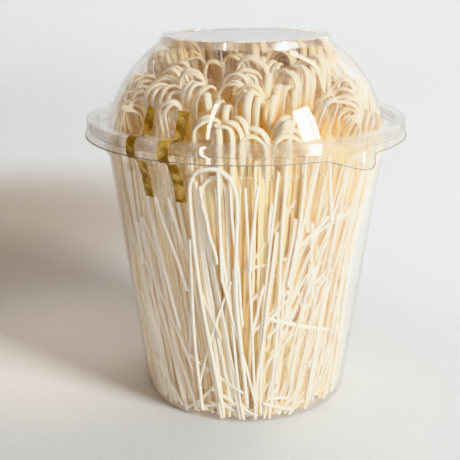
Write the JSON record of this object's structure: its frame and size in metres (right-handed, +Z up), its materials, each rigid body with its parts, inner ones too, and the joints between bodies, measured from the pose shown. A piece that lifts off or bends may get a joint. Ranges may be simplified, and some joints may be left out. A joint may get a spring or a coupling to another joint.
{
  "type": "lidded cup of dried somen noodles",
  "caption": "Clear tapered cup with a domed lid and seal tape, packed upright with dried wheat noodles whose drying bends crowd under the dome.",
  "frame": {"origin": "middle of the footprint, on the plane that the cup stands on", "axes": "+Z up along the cup's axis; -Y is the front seen in the picture; +X to the front's right"},
  "size_m": [0.1294, 0.1294, 0.1496],
  "materials": {
    "clear_cup": "clear thin formed plastic sheet with a soft gloss",
    "clear_lid": "clear thin formed plastic sheet with a sharp gloss",
    "seal_tape": "wrinkled clear tape with a printed gold band along each edge",
    "dried_noodle": "dry, smooth, slightly waxy ivory noodle"
  },
  "bodies": {
    "root": {"cup": "clear_cup", "lid": "clear_lid", "seal": "seal_tape", "somen": "dried_noodle"}
  },
  "joints": []
}
